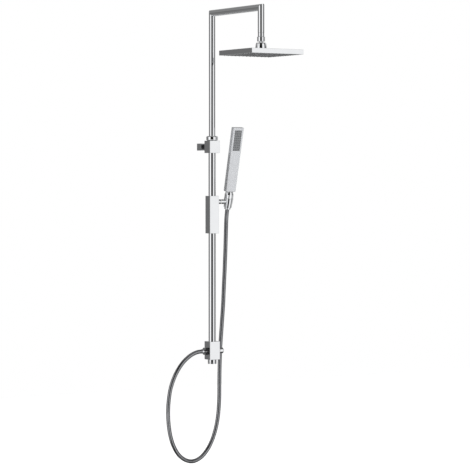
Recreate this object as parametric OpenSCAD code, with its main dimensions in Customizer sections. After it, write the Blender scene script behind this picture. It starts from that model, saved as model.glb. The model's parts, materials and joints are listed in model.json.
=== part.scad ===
// Rainfall shower column: diverter block, telescopic riser, overhead rose and hand shower.
// Origin: the wall face, level with the wall bracket. +Z is up, +Y goes into the wall,
// -Y is the room side, and the water hose leaves on the -X side.

/* [Column] */
// Distance from the wall to the axis of the riser
wall_reach = 80; // [66:1:100]
// Outer diameter of the lower riser tube
lower_d = 25; // [20.5:0.5:30]
// Wall thickness of the riser tubes and of the arm
tube_wall = 1; // [0.8:0.1:1.5]
// Radial play of the upper tube in the lower tube
tube_play = 0.5; // [0.3:0.1:0.8]
// Height of the arm's axis above the wall bracket
arm_height = 454; // [375:1:550]
// Length of upper tube that is inside the column below the wall bracket
upper_tail = 200; // [160:1:260]
// Distance from the riser's axis to the rose's axis
arm_reach = 305; // [250:1:370]
// Length of the drop tube, from the arm's axis to its lower end
drop_length = 83; // [60:1:110]
// Height of the wall bracket above the diverter block, centre to centre
column_drop = 695; // [580:1:840]

/* [Blocks] */
// Width of the wall bracket and of the diverter block
block_w = 40; // [37:1:50]
// Depth of the wall bracket and of the diverter block
block_d = 36; // [35:1:46]
// Height of the wall bracket
bracket_h = 42; // [34:1:52]
// Height of the diverter block
diverter_h = 62; // [58:1:76]
// Wall of the slider in front of the riser's bore and behind it
slider_wall = 2.2; // [1.8:0.1:4]
// Wall of the slider beside the riser's bore
slider_side = 5.2; // [4.3:0.1:8]
// Height of the slider
slider_h = 128; // [106:1:155]
// Height of the slider above the holder's pin
slider_above = 20; // [16:1:28]

/* [Wall fixing] */
// Thinnest wall of the square wall sleeve, around the neck
sleeve_wall = 2; // [1.6:0.1:4]
// Length of the square wall sleeve
sleeve_len = 28; // [22:1:34]
// Diameter of the neck between the sleeve and the bracket
neck_d = 20; // [16:0.5:24]
// Diameter of the wall bolt's thread in the neck
wall_thread_d = 8; // [6:1:10]
// Depth of the wall bolt's thread
wall_thread_len = 20; // [15:1:26]

/* [Locking collar] */
// Wall of the locking collar around the lower riser tube
collar_wall = 7.5; // [6:0.1:10]
// Height of the locking collar
collar_h = 15.5; // [13:0.5:19]

/* [Rose] */
// Side of the square rose
rose_w = 200; // [160:1:250]
// Height of the rose
rose_h = 16; // [15:0.5:22]
// Sheet thickness of the rose's cover
rose_wall = 2; // [1.5:0.1:2.6]
// Least distance from the rose's edge to the middle of a nozzle
rose_edge = 13; // [10:0.5:20]
// Distance between two nozzles of the rose
rose_pitch = 14.5; // [12:0.1:17.5]
// Diameter of a nozzle of the rose
nozzle_d = 4; // [3:0.1:5]
// Diameter of the ball of the swivel joint
ball_d = 22; // [18:0.5:26.5]
// Wall of the bell around the socket of the ball
bell_wall = 4; // [3:0.1:6]

/* [Hand shower] */
// Distance of the hand shower's axis from the riser's axis
holder_reach = 65; // [60:1:80]
// Distance of the holder's pin below the wall bracket
holder_below = 187; // [180:1:205]
// Forward lean of the hand shower
lean = 13; // [8:1:20]
// Length of the hand shower's body
handset_len = 224; // [185:1:270]
// Width of the body at its foot
handset_w = 37; // [31:0.5:44]
// Width of the body at its head
handset_head_w = 42; // [35:0.5:50]
// Depth of the body at its foot
handset_t = 19; // [18.5:0.5:24]
// Depth of the body at its head
handset_head_t = 14; // [13:0.5:18]
// Length of the spray plate
spray_len = 71; // [59:0.5:86]
// Width of the spray plate
spray_w = 28; // [23:0.5:33]
// Diameter of the holder's pin
pin_d = 16; // [13.5:0.5:19]
// Wall of the holder's cup at its rim
cup_wall = 3.6; // [2.9:0.1:6]

/* [Hose and diverter] */
// Outer diameter of the metal hose
hose_d = 14; // [12:0.5:14.5]
// Diameter of the diverter's knob
knob_d = 21; // [18:0.5:25]
// Length of the diverter's knob
knob_len = 21; // [18:0.5:25]
// Wall of the inlet union nut around its thread
inlet_nut_wall = 1.8; // [1.5:0.1:4]
// Diameter of the inlet union nut's thread
inlet_thread_d = 26.4; // [22:0.1:31.7]

/* [Clearances] */
// Radial clearance of fixed and threaded fits
fit = 0.05; // [0.03:0.01:0.1]
// Radial clearance of loose turning pieces
loose = 0.3; // [0.2:0.05:0.4]

/* [Hidden] */
$fn = 64;
big = 400;

// Riser tubes
lower_r = lower_d / 2;
bore_r = lower_r - tube_wall;
upper_r = bore_r - tube_play;
upper_in = upper_r - tube_wall;
bracket_top = bracket_h / 2;
collar_r = lower_r + collar_wall;
collar_round = 4;
collar_gap = 0.3;
collar_z = bracket_top + collar_gap;
lower_top = collar_z + collar_h * 0.56;
tube_seat = 16;
diverter_top = -column_drop + diverter_h / 2;
diverter_foot = -column_drop - diverter_h / 2;
lower_foot = diverter_top - tube_seat;
collet_h = collar_h * 0.27;
bush_h = 24;
bush_spigot = 15;
bush_bore = 6;
o_ring_t = 1.6;
o_ring_z = [6, 16];

// Wall fixing
neck_r = neck_d / 2;
sleeve_w = neck_d + 2 * sleeve_wall;
back_y = -wall_reach + block_d / 2;
back_wall = block_d / 2 - lower_r;
spigot_r = 6;
spigot_len = back_wall - 1.2;
grub_r = 2.4;
grub_inset = 0.2;
grub_key_r = 1.3;

// Rose and its ball joint
rose_y = -wall_reach - arm_reach;
drop_foot = arm_height - drop_length;
ferrule_h = 13;
stud_h = 16;
stud_r = 13;
neck_gap = 4;
ball_r = ball_d / 2;
ball_rise = ball_r - 1;
stud_foot = drop_foot - ferrule_h - stud_h;
bell_top = stud_foot - neck_gap;
ball_z = bell_top - ball_rise;
ball_neck_r = ball_r * 0.59;
ring_t = 1.35;
socket_h = ball_r + 3;
rose_top = ball_z - socket_h;
rose_z = rose_top - rose_h;
socket_r = ball_r + 4;
bell_r = socket_r + bell_wall;
bell_top_r = ball_r + 3.82;
bell_round = 4;
mouth_rise = 6;
mouth_r = sqrt(ball_r * ball_r - mouth_rise * mouth_rise);
ball_flat = 1.2;
spigot_drop = rose_wall + 4;
thread_r = upper_in - 0.5;
stud_floor = 4;
limiter_t = 0.5;
head_t = 1.2;
water_r = 5;
face_t = 2.5;
mat_t = 2;
face_inset = 0.5;
screw_r = 1.5;
rose_rows = 2 * floor((rose_w / 2 - rose_edge) / rose_pitch + 0.01) + 1;
screw_places = rose_pitch * ((rose_rows - 1) / 2 - 1.5);
screw_head_r = 3;

// Slider and holder
liner_t = 0.95;
liner_h = 10;
liner_r = lower_r + fit + liner_t;
slider_bore = lower_r + loose;
slider_half = slider_bore + slider_wall;
holder_z = -holder_below;
slider_top = holder_z + slider_above;
slider_foot = slider_top - slider_h;
pin_r = pin_d / 2;
face_x = slider_bore + slider_side;
pin_end = face_x + 15;
washer_t = 1;
spindle_r = pin_r - 3;
boss_x = pin_end + washer_t;
pad_r = 4;
plug_len = 8;
pin_spigot = slider_side - 1.2;
cup_low = -20;
cup_high = 12;
seat_play = 0.15;
seat_high_r = 12.25;
seat_low_r = 11.05;
seat_slope = (seat_high_r - seat_low_r) / (cup_high - cup_low);
cup_r = seat_high_r + seat_play + cup_wall;
cup_foot_r = cup_r - 2.5;
cup_wall_x = holder_reach - seat_high_r - seat_play;
head_rest_x = cup_wall_x - 2.6;
spindle_end = head_rest_x - 3;
screw_len = 9;
holder_screw_r = 2;
holder_head_r = 3.7;
holder_head_t = 2.2;
cup_slot_w = hose_d + 1.2;

// Hand shower, along its own leaning axis
nut_top = 35;
nut_foot = -26;
flange_low = cup_high + 0.3;
flange_high = 26;
flange_r = seat_high_r + 3;
tail_r = 10.4;
tail_foot = 14.4;
tail_neck_r = 7;
channel_r = 4;
spray_hole_r = 1.3;
spray_mat_t = 1.2;
body_foot = nut_top + 1;
body_top = body_foot + handset_len;
tail_top = body_foot + 20;
ferrule_top = 12.2;
ferrule_foot = -22;
spray_top = body_top - 9;
spray_foot = spray_top - spray_len;
front_y = -handset_t / 2;
spray_t = 2.5;
spray_rows = 9;
spray_cols = 4;

// Diverter block
knob_z = -column_drop - 2;
chamber_r = 8;
rotor_r = 7.6;
cartridge_r = 10.9;
cartridge_len = 18.5;
block_x = block_w / 2;
cartridge_x = block_x - cartridge_len - 0.5;
knob_spindle_r = 4;
knob_gap = 1;
knob_round = 3.5;
knob_socket = knob_len * 0.6;
knob_screw_at = block_x + knob_gap + knob_len * 0.3;
knob_screw_r = 1.5;
seal_groove_r = 0.7;
nipple_r = 10.4;
nipple_len = 7;
nipple_seat = 8;
nipple_root_r = 9;
seal_t = 1.5;
ferrule_t = 2;
ferrule_r = hose_d / 2 + 0.6;
outlet_x = -block_x - nipple_len;
ferrule_x = outlet_x - seal_t - ferrule_t;
ferrule_end = ferrule_x - 11.5;
outlet_nut_r = 14;
inlet_nut_r = inlet_thread_d / 2 + inlet_nut_wall;
inlet_h = 14.5;
inlet_top = diverter_foot - 0.5;
inlet_foot = inlet_top - inlet_h;
inlet_web = 2;
tailpiece_r = 8.7;
tail_spigot_r = 9.9;
tail_spigot_len = 9;
flange_t = 2;
inlet_seal_t = 2;
flange_z = inlet_top - inlet_web - 0.1;
inlet_flange_r = inlet_thread_d / 2 - 0.6;
thread_top = flange_z - flange_t - inlet_seal_t - 0.1;

// Hose, from the hand shower's nut to the diverter's outlet, as it hangs
hose_end_route = [
  [65, -70, -230], [65, -67, -253], [65, -65.5, -277]
];
bend_top = [64.5, -65, -300];
hose_bend_route = [[63.5, -65, -330], [62.5, -65, -360]];
hose_top = [61, -65, -390];
hose_route = [
  [59.5, -65, -425], [57.5, -65, -460], [55.5, -65, -500], [53.5, -65, -540],
  [51, -64, -580], [49, -62, -620], [47, -60, -660], [45.5, -58, -700],
  [44, -58, -740], [43, -58, -780], [42.5, -58, -820], [42, -58, -860],
  [40, -57.5, -900], [35.5, -57, -937], [27, -57, -972], [14, -57, -1006],
  [-5, -57.5, -1037], [-32, -59, -1062], [-65, -61.5, -1073], [-98, -64.5, -1066],
  [-127, -67.5, -1045], [-148, -70, -1014], [-162, -72.5, -978], [-170, -74.5, -938],
  [-173, -76, -898], [-171, -77, -858], [-165, -78, -821], [-154, -79, -788],
  [-138, -80, -758], [-116, -80, -731], [-90, -80, -711], [-65, -80, -700]
];
hose_sides = 12;
hose_gap = 0.05;

module at_riser() { translate([0, -wall_reach, 0]) children(); }
module at_rose() { translate([0, rose_y, 0]) children(); }
module at_holder() {
  translate([holder_reach, -wall_reach, holder_z]) rotate([lean, 0, 0]) children();
}
// Turns a piece that stands on +Z so that it points along +X, -X or +Y
module along_x(x, y, z) { translate([x, y, z]) rotate([0, 90, 0]) children(); }
module along_minus_x(x, y, z) { translate([x, y, z]) rotate([0, -90, 0]) children(); }
module along_y(x, y, z) { translate([x, y, z]) rotate([-90, 0, 0]) children(); }

module rod(r, z0, z1) { translate([0, 0, z0]) cylinder(h = z1 - z0, r = r); }
module cone(r0, r1, z0, z1) { translate([0, 0, z0]) cylinder(h = z1 - z0, r1 = r0, r2 = r1); }
module ring(r_out, r_in, z0, z1) {
  difference() {
    rod(r_out, z0, z1);
    rod(r_in, z0 - 1, z1 + 1);
  }
}
// A cylinder whose rims are rounded with radius e
module barrel(r, z0, z1, e) {
  rotate_extrude() intersection() {
    union() {
      translate([0, z0]) square([r - e, z1 - z0]);
      translate([0, z0 + e]) square([r, z1 - z0 - 2 * e]);
      translate([r - e, z0 + e]) circle(e);
      translate([r - e, z1 - e]) circle(e);
    }
    translate([0, z0]) square([r, z1 - z0]);
  }
}
module box(x0, x1, y0, y1, z0, z1) { translate([x0, y0, z0]) cube([x1 - x0, y1 - y0, z1 - z0]); }

// Wall fixing
module wall_sleeve() {
  color("silver") difference() {
    box(-sleeve_w / 2, sleeve_w / 2, -sleeve_len, 0, -sleeve_w / 2, sleeve_w / 2);
    along_y(0, -sleeve_len - 1, 0) rod(neck_r + fit, 0, sleeve_len + 2);
    translate([0, -sleeve_len / 2, 0]) rod(grub_r + fit, -sleeve_w, 0);
  }
}
module sleeve_grub_screw() {
  color("dimgray") translate([0, -sleeve_len / 2, 0]) difference() {
    rod(grub_r, -sleeve_w / 2 + grub_inset, -neck_r - fit);
    translate([0, 0, -sleeve_w / 2 - 1]) cylinder(h = 2, r = grub_key_r, $fn = 6);
  }
}
module wall_neck() {
  color("silver") difference() {
    union() {
      along_y(0, back_y, 0) rod(neck_r, 0, -back_y);
      along_y(0, back_y - spigot_len, 0) rod(spigot_r, 0, spigot_len + 1);
    }
    along_y(0, -wall_thread_len, 0) rod(wall_thread_d / 2, 0, wall_thread_len + 1);
  }
}
module wall_bracket() {
  color("silver") difference() {
    at_riser() box(-block_x, block_x, -block_d / 2, block_d / 2, -bracket_top, bracket_top);
    at_riser() rod(lower_r + fit, -bracket_h, bracket_h);
    along_y(0, back_y - spigot_len, 0) rod(spigot_r + fit, 0, spigot_len + 1);
  }
}

// Riser
module lower_riser() {
  color("silver") at_riser() ring(lower_r, bore_r, lower_foot, lower_top);
}
module collet_ring() {
  color("ivory") at_riser() ring(lower_r, upper_r + fit, lower_top + fit, lower_top + collet_h);
}
module locking_collar() {
  color("silver") at_riser() difference() {
    barrel(collar_r, collar_z, collar_z + collar_h, collar_round);
    rod(lower_r + 2 * fit, 0, lower_top + collet_h + fit);
    rod(upper_r + loose, 0, 2 * collar_z + collar_h);
  }
}
module guide_bush() {
  color("ivory") at_riser() translate([0, 0, -upper_tail]) difference() {
    union() {
      rod(bore_r - fit, -bush_h, 0);
      rod(upper_in - fit, -1, bush_spigot);
    }
    rod(bush_bore, -bush_h - 1, bush_spigot + 1);
    for (z = o_ring_z) ring(lower_r, bore_r - o_ring_t, -z - o_ring_t, -z);
  }
}
module guide_o_rings() {
  color("black") at_riser() translate([0, 0, -upper_tail]) for (z = o_ring_z)
    translate([0, 0, -z - o_ring_t / 2]) rotate_extrude()
      translate([bore_r - fit - o_ring_t / 2 + fit / 2, 0]) circle(o_ring_t / 2 - fit / 2);
}
// Half space above a plane through the X axis that is turned by a about it
module above(a) { rotate([a, 0, 0]) translate([-big / 2, -big, 0]) cube([big, 2 * big, big]); }
module below(a) { rotate([a, 0, 0]) translate([-big / 2, -big, -big]) cube([big, 2 * big, big]); }
module upper_riser() {
  color("silver") at_riser() difference() {
    ring(upper_r, upper_in, -upper_tail, arm_height + 2 * upper_r);
    translate([0, 0, arm_height]) above(45);
  }
}
module overhead_arm() {
  color("silver") translate([0, 0, arm_height]) difference() {
    along_y(0, rose_y - 2 * upper_r, 0) ring(upper_r, upper_in, 0, arm_reach + 4 * upper_r);
    translate([0, -wall_reach, 0]) below(45);
    translate([0, rose_y, 0]) below(-45);
  }
}
module drop_tube() {
  color("silver") at_rose() difference() {
    ring(upper_r, upper_in, drop_foot, arm_height + 2 * upper_r);
    translate([0, 0, arm_height]) above(-45);
  }
}

// Rose and its ball joint
module drop_nipple() {
  color("goldenrod") at_rose() difference() {
    union() {
      rod(upper_in - fit, drop_foot, drop_foot + 15);
      rod(thread_r, stud_foot + stud_floor + limiter_t, drop_foot + 1);
    }
    rod(water_r, stud_foot, drop_foot + 20);
  }
}
module drop_ferrule() {
  color("silver") at_rose() difference() {
    barrel(upper_r - 0.25, drop_foot - ferrule_h, drop_foot, 1);
    rod(thread_r + fit, 0, big * 2);
  }
}
module ball_stud() {
  color("silver") at_rose() difference() {
    union() {
      barrel(stud_r, stud_foot, stud_foot + stud_h, 1.5);
      rod(ball_neck_r, ball_z, stud_foot + 1);
      translate([0, 0, ball_z]) sphere(ball_r);
    }
    rod(thread_r + fit, stud_foot + stud_floor, big * 2);
    rod(water_r - 1, 0, big * 2);
    rod(ball_r, ball_z - 2 * ball_r, ball_z - ball_r + ball_flat);
  }
}
module flow_limiter() {
  color("mediumseagreen") at_rose() difference() {
    rod(thread_r - loose, stud_foot + stud_floor, stud_foot + stud_floor + limiter_t);
    for (a = [0 : 60 : 300]) rotate([0, 0, a]) translate([water_r / 2, 0, 0]) rod(1, 0, big * 2);
  }
}
// Friction ring between the ball and its socket
module ball_ring() {
  color("ivory") at_rose() translate([0, 0, ball_z]) intersection() {
    difference() {
      sphere(ball_r + fit + ring_t);
      sphere(ball_r + fit);
    }
    box(-big, big, -big, big, -ball_r * 0.77, -ball_r * 0.27);
  }
}
module ball_socket() {
  color("goldenrod") at_rose() difference() {
    union() {
      rod(socket_r, rose_top, ball_z);
      rod(thread_r, rose_top - spigot_drop, rose_top + 1);
    }
    translate([0, 0, ball_z]) sphere(ball_r + 2 * fit + ring_t);
    rod(water_r + 1, 0, big * 2);
  }
}
module ball_bell() {
  color("silver") at_rose() difference() {
    rotate_extrude() polygon([
      [0, rose_top], [bell_r, rose_top], [bell_r, rose_top + 2],
      for (a = [0 : 15 : 90])
        [bell_r - bell_round * (1 - cos(a)) - a / 90 * (bell_r - bell_round - bell_top_r),
          rose_top + 2 + (bell_top - rose_top - 2) * sin(a)],
      [0, bell_top]
    ]);
    rod(socket_r + fit, rose_top - 1, ball_z);
    translate([0, 0, ball_z]) sphere(ball_r + fit);
    rod(mouth_r + fit, ball_z + mouth_rise - 1, big * 2);
    cone(mouth_r, ball_r + 1.2, ball_z + mouth_rise + 0.2, bell_top + 0.01);
  }
}
module socket_nut() {
  color("goldenrod") at_rose() difference() {
    translate([0, 0, rose_top - spigot_drop])
      cylinder(h = spigot_drop - rose_wall - fit, r = thread_r + 4.5, $fn = 6);
    rod(thread_r + fit, 0, big * 2);
  }
}
half_rose = rose_w / 2;
inner_rose = half_rose - rose_wall;
face_z = rose_z + face_inset;
mat_z = face_z + face_t;
nozzle_places = [for (i = [0 : rose_rows - 1]) (i - (rose_rows - 1) / 2) * rose_pitch];
module at_rose_screws() {
  for (x = [-1, 1], y = [-1, 1]) at_rose() translate([x * screw_places, y * screw_places, 0]) children();
}
module rose_cover() {
  color("silver") difference() {
    union() {
      difference() {
        at_rose() box(-half_rose, half_rose, -half_rose, half_rose, rose_z, rose_top);
        at_rose() box(-inner_rose, inner_rose, -inner_rose, inner_rose, rose_z - 1, rose_top - rose_wall);
      }
      at_rose_screws() rod(4, mat_z + mat_t, rose_top - rose_wall + 0.5);
    }
    at_rose() rod(thread_r + fit, 0, big * 2);
    at_rose_screws() rod(screw_r + fit, rose_z, rose_top - rose_wall);
  }
}
module rose_face() {
  r = inner_rose - 2 * fit;
  color("dimgray") difference() {
    at_rose() box(-r, r, -r, r, face_z, mat_z);
    for (x = nozzle_places, y = nozzle_places)
      at_rose() translate([x, y, 0]) rod(nozzle_d / 2 + fit, face_z - 1, mat_z + 1);
    at_rose_screws() rod(screw_r + fit, face_z - 1, mat_z + 1);
    at_rose_screws() rod(screw_head_r + fit, face_z - 1, face_z + head_t);
  }
}
module rose_nozzles() {
  r = inner_rose - 1;
  color("gray") difference() {
    union() {
      at_rose() box(-r, r, -r, r, mat_z, mat_z + mat_t);
      for (x = nozzle_places, y = nozzle_places)
        at_rose() translate([x, y, 0]) rod(nozzle_d / 2, rose_z - 1.5, mat_z + 1);
    }
    at_rose_screws() rod(screw_r + fit, 0, big * 2);
  }
}
module rose_screws() {
  color("silver") at_rose_screws() difference() {
    union() {
      rod(screw_head_r, face_z, face_z + head_t);
      rod(screw_r, face_z, rose_top - rose_wall - 1);
    }
    translate([0, 0, face_z - 1]) cylinder(h = 1.7, r = 1.2, $fn = 6);
  }
}

// Slider and holder
module slider_body() {
  color("silver") difference() {
    at_riser() box(-face_x, face_x, -slider_half, slider_half, slider_foot, slider_top);
    at_riser() rod(slider_bore, slider_foot - 1, slider_top + 1);
    at_riser() rod(liner_r + fit, slider_top - liner_h, slider_top + 1);
    at_riser() rod(liner_r + fit, slider_foot - 1, slider_foot + liner_h);
    along_x(0, -wall_reach, holder_z) rod(pad_r + fit, 0, face_x);
    along_x(face_x - pin_spigot, -wall_reach, holder_z) rod(spindle_r + 1 + fit, 0, big);
  }
}
module slider_liners() {
  color("ivory") at_riser() {
    ring(liner_r, lower_r + fit, slider_top - liner_h, slider_top - 0.5);
    ring(liner_r, lower_r + fit, slider_foot + 0.5, slider_foot + liner_h);
  }
}
module brake_pad() {
  color("ivory") along_x(lower_r + 2 * fit, -wall_reach, holder_z)
    rod(pad_r, 0, face_x - lower_r - 2 * fit);
}
module brake_plug() {
  color("black") along_x(face_x, -wall_reach, holder_z) rod(pad_r, 0, plug_len);
}
module holder_pin() {
  color("silver") difference() {
    union() {
      along_x(face_x, -wall_reach, holder_z) rod(pin_r, 0, pin_end - face_x);
      along_x(face_x - pin_spigot, -wall_reach, holder_z) rod(spindle_r + 1, 0, pin_spigot + 1);
      along_x(pin_end - 1, -wall_reach, holder_z) rod(spindle_r, 0, spindle_end - pin_end + 1);
    }
    along_x(0, -wall_reach, holder_z) rod(pad_r + fit, 0, face_x + plug_len);
    along_x(head_rest_x - screw_len, -wall_reach, holder_z) rod(holder_screw_r + fit, 0, big);
  }
}
module friction_washer() {
  color("ivory") along_x(pin_end, -wall_reach, holder_z) ring(pin_r - 0.3, spindle_r + fit, 0, washer_t);
}
module holder_cup() {
  color("silver") difference() {
    union() {
      at_holder() cone(cup_foot_r, cup_r, cup_low, cup_high);
      along_x(boss_x, -wall_reach, holder_z) rod(pin_r, 0, holder_reach - boss_x);
    }
    at_holder() cone(seat_low_r + seat_play - seat_slope, seat_high_r + seat_play + seat_slope,
      cup_low - 1, cup_high + 1);
    at_holder() box(-cup_slot_w / 2, cup_slot_w / 2, 0, cup_r + 1, cup_low - 1, cup_high + 1);
    along_x(boss_x - 1, -wall_reach, holder_z) rod(spindle_r + fit, 0, spindle_end + 0.3 - boss_x + 1);
    along_x(boss_x, -wall_reach, holder_z) rod(holder_screw_r + loose, 0, holder_reach - boss_x);
    along_x(head_rest_x, -wall_reach, holder_z) rod(holder_head_r + loose, 0, holder_reach - head_rest_x);
  }
}
module holder_screw() {
  color("silver") difference() {
    union() {
      along_x(head_rest_x, -wall_reach, holder_z) rod(holder_head_r, 0, holder_head_t);
      along_x(head_rest_x - screw_len + 1, -wall_reach, holder_z) rod(holder_screw_r, 0, screw_len);
    }
    along_x(head_rest_x + 1, -wall_reach, holder_z) cylinder(h = 3, r = 1.5, $fn = 6);
  }
}

// Hand shower
module handset_outline() {
  intersection() {
    rotate([90, 0, 0]) linear_extrude(height = 4 * handset_t, center = true) polygon([
      [-handset_w / 2, body_foot], [handset_w / 2, body_foot],
      [handset_head_w / 2, body_top], [-handset_head_w / 2, body_top]
    ]);
    rotate([90, 0, 90]) linear_extrude(height = 2 * handset_head_w + 2 * handset_w, center = true) polygon([
      [front_y, body_foot], [handset_t / 2, body_foot],
      [front_y + handset_head_t, body_top], [front_y, body_top]
    ]);
  }
}
chamber_back = front_y + spray_t + 4;
module handset_body() {
  color("lightgray") at_holder() difference() {
    handset_outline();
    rod(tail_neck_r + fit, body_foot - 1, tail_top + fit);
    rod(channel_r, body_foot, spray_foot + 10);
    box(-spray_w / 2, spray_w / 2, front_y - 1, front_y + spray_t, spray_foot, spray_top);
    box(-spray_w / 2 + 1.5, spray_w / 2 - 1.5, front_y, chamber_back, spray_foot + 1.5, spray_top - 1.5);
  }
}
module handset_tail() {
  color("goldenrod") at_holder() difference() {
    union() {
      rod(tail_r, tail_foot, body_foot);
      rod(tail_neck_r, body_foot - 1, tail_top);
    }
    rod(water_r, tail_foot - 1, tail_top + 1);
  }
}
module check_valve() {
  color("royalblue") at_holder() difference() {
    rod(water_r - fit, tail_foot + 6, tail_foot + 18);
    for (a = [0 : 90 : 270]) rotate([0, 0, a]) translate([water_r / 2, 0, 0]) rod(1.2, 0, big);
  }
}
spray_x = [for (i = [0 : spray_cols - 1]) (i - (spray_cols - 1) / 2) * spray_w / spray_cols];
spray_z = [for (i = [0 : spray_rows - 1]) spray_foot + (i + 0.5) * spray_len / spray_rows];
module spray_holes(r, y0, y1) {
  for (x = spray_x, z = spray_z) along_y(x, y0, z) rod(r, 0, y1 - y0);
}
module spray_plate() {
  color("dimgray") at_holder() difference() {
    box(-spray_w / 2 + fit, spray_w / 2 - fit, front_y, front_y + spray_t, spray_foot + fit, spray_top - fit);
    spray_holes(spray_hole_r + fit, front_y - 1, front_y + spray_t + 1);
  }
}
module spray_nozzles() {
  color("gray") at_holder() {
    box(-spray_w / 2 + 1.6, spray_w / 2 - 1.6, front_y + spray_t, front_y + spray_t + spray_mat_t,
      spray_foot + 1.6, spray_top - 1.6);
    spray_holes(spray_hole_r, front_y - 0.8, front_y + spray_t + spray_mat_t / 2);
  }
}
module cone_nut() {
  color("silver") at_holder() difference() {
    union() {
      cone(seat_low_r - seat_slope * (cup_low - nut_foot), seat_high_r, nut_foot, cup_high);
      rod(seat_high_r, cup_high - 0.5, flange_low + 1);
      rod(flange_r, flange_low, flange_high);
      cone(flange_r, tail_r + 1.5, flange_high, nut_top);
    }
    rod(ferrule_r + 2 * fit, nut_foot - 1, nut_top);
    rod(tail_r - 0.9, ferrule_top - ferrule_t - fit, nut_top);
    rod(tail_r + fit, tail_foot, nut_top + 1);
  }
}
module top_washer() {
  color("black") at_holder() ring(tail_r - 1, water_r, ferrule_top, tail_foot);
}
module top_ferrule() {
  color("silver") at_holder() difference() {
    union() {
      rod(tail_r - 1, ferrule_top - ferrule_t, ferrule_top);
      rod(ferrule_r, ferrule_foot, ferrule_top - 1);
    }
    rod(water_r - 1, ferrule_foot - 1, ferrule_top + 1);
  }
}

// Hose: rings of points along a route, each square to the mean of its two neighbours
function unit(v) = v / norm(v);
function heading(p, i) =
  unit(p[min(i + 1, len(p) - 1)] - p[max(i - 1, 0)]);
function side_of(d) = unit(cross(d, abs(d[1]) < 0.8 ? [0, 1, 0] : [1, 0, 0]));
function hose_ring(c, d, r) = let (u = side_of(d), v = cross(d, u))
  [for (k = [0 : hose_sides - 1]) let (a = k * 360 / hose_sides) c + r * (cos(a) * u + sin(a) * v)];
// first and last are the directions of the two ends
module hose_tube(p, first, last) {
  n = len(p);
  rings = [for (i = [0 : n - 1])
    hose_ring(p[i], i == 0 ? first : i == n - 1 ? last : heading(p, i), hose_d / 2)];
  points = [for (one = rings) each one];
  sides = [for (i = [0 : n - 2], k = [0 : hose_sides - 1]) let (j = (k + 1) % hose_sides)
    [i * hose_sides + k, (i + 1) * hose_sides + k, (i + 1) * hose_sides + j, i * hose_sides + j]];
  ends = [[for (k = [0 : hose_sides - 1]) k],
    [for (k = [hose_sides - 1 : -1 : 0]) (n - 1) * hose_sides + k]];
  polyhedron(points = points, faces = concat(sides, ends), convexity = 10);
}
down_axis = [0, sin(lean), -cos(lean)];
hose_start = [holder_reach, -wall_reach, holder_z] - ferrule_foot * down_axis;
hose_finish = [ferrule_end, -wall_reach, knob_z];
bend_way = unit(hose_bend_route[0] - hose_end_route[2]);
top_way = unit(hose_route[0] - hose_bend_route[1]);
module hose_end() {
  color("gray") hose_tube(concat([hose_start + hose_gap * down_axis], hose_end_route, [bend_top]),
    down_axis, bend_way);
}
module hose_bend() {
  color("gray")
    hose_tube(concat([bend_top + hose_gap * bend_way], hose_bend_route, [hose_top]), bend_way, top_way);
}
module hose() {
  color("gray")
    hose_tube(concat([hose_top + hose_gap * top_way], hose_route, [hose_finish]), top_way, [1, 0, 0]);
}

// Diverter block and its fittings
module at_outlet(x) { along_minus_x(x, -wall_reach, knob_z) children(); }
module at_knob(x) { along_x(x, -wall_reach, knob_z) children(); }
module bottom_ferrule() {
  color("silver") at_outlet(0) difference() {
    union() {
      rod(nipple_r - 0.6, -ferrule_x - ferrule_t, -ferrule_x);
      rod(ferrule_r, -ferrule_x - 1, -ferrule_end);
    }
    rod(water_r - 1, 0, big);
  }
}
module outlet_nut() {
  foot = block_x + 0.6;
  top = -ferrule_x + 2.6;
  color("silver") at_outlet(0) difference() {
    intersection() {
      translate([0, 0, foot]) cylinder(h = top - foot, r = outlet_nut_r, $fn = 6);
      cone(outlet_nut_r + 4, outlet_nut_r - 3.2, foot, top);
    }
    rod(nipple_r + fit, 0, -ferrule_x + fit);
    rod(ferrule_r + loose, 0, big);
  }
}
module outlet_washer() {
  color("black") at_outlet(0) ring(nipple_r - 0.6, water_r, -outlet_x, -outlet_x + seal_t);
}
module outlet_nipple() {
  color("silver") at_outlet(0) difference() {
    union() {
      rod(nipple_root_r, block_x - nipple_seat, block_x + 1);
      rod(nipple_r, block_x, -outlet_x);
    }
    rod(water_r, 0, big);
  }
}
module diverter_block() {
  color("silver") difference() {
    at_riser() box(-block_x, block_x, -block_d / 2, block_d / 2, diverter_foot, diverter_top);
    at_riser() rod(lower_r + fit, lower_foot, diverter_top + 1);
    at_riser() rod(chamber_r, diverter_foot - 1, diverter_top);
    at_riser() rod(tail_spigot_r + fit, diverter_foot - 1, diverter_foot + tail_spigot_len + 1);
    at_knob(cartridge_x) rod(cartridge_r + fit, 0, big);
    at_outlet(0) rod(chamber_r + fit, -cartridge_x, 8);
    at_outlet(0) rod(water_r, 0, block_x);
    at_outlet(0) rod(nipple_root_r + fit, block_x - nipple_seat, big);
  }
}
module diverter_cartridge() {
  color("ivory") at_knob(cartridge_x) difference() {
    rod(cartridge_r, 0.2, cartridge_len);
    rod(knob_spindle_r + fit, 0, cartridge_len + 1);
    ring(cartridge_r + 1, cartridge_r - 2 * seal_groove_r, 6, 8);
  }
}
module cartridge_o_ring() {
  color("black") at_knob(cartridge_x + 7) rotate_extrude()
    translate([cartridge_r - seal_groove_r, 0]) circle(seal_groove_r);
}
module diverter_spindle() {
  color("goldenrod") at_knob(0) difference() {
    union() {
      rod(rotor_r, -6, cartridge_x);
      rod(knob_spindle_r, -6, block_x + knob_gap + knob_socket);
    }
    translate([0, 0, -3]) rotate([90, 0, 0]) cylinder(h = 2 * big, r = 2.5, center = true);
  }
}
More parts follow.
